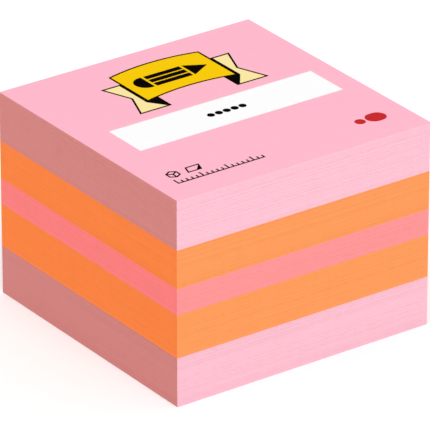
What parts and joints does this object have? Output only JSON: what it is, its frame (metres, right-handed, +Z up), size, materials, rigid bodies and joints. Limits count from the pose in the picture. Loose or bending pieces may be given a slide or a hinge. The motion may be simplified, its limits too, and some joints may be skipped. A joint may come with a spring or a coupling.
{
  "type": "sticky note pad",
  "caption": "Cube of square self-adhesive paper notes in stacked bands of pink, orange and coral, with a printed cover sheet and a plain backing sheet.",
  "frame": {"origin": "middle of the underside, on the surface the pad rests on", "axes": "+Z up through the stack; +X to the right of a reader of the cover; +Y to the edge where the sheets are stuck together"},
  "size_m": [0.051, 0.051, 0.0372],
  "materials": {
    "paper_pink": "uncoated, matte",
    "paper_cover_pink": "uncoated, matte, printed",
    "paper_orange": "uncoated, matte",
    "paper_coral": "uncoated, matte",
    "adhesive": "low-tack film, translucent",
    "ink_white": "printed ink, satin",
    "ink_bright_yellow": "printed ink, satin",
    "ink_pale_yellow": "printed ink, satin",
    "ink_black": "printed ink, satin",
    "ink_red": "printed ink, satin"
  },
  "bodies": {
    "root": {"backing_sheet": "paper_pink", "adhesive_bottom_pink": "adhesive", "bottom_pink_sheets": "paper_pink", "adhesive_lower_orange": "adhesive", "lower_orange_sheets": "paper_orange", "adhesive_middle_coral": "adhesive", "middle_coral_sheets": "paper_coral", "adhesive_upper_orange": "adhesive", "upper_orange_sheets": "paper_orange", "adhesive_top_pink": "adhesive", "top_pink_sheets": "paper_pink", "adhesive_cover": "adhesive", "cover_sheet": "paper_cover_pink", "print_white_panel": "ink_white", "print_banner_front": "ink_bright_yellow", "print_banner_tails": "ink_pale_yellow", "print_black_marks": "ink_black", "print_red_mark": "ink_red"}
  },
  "joints": []
}
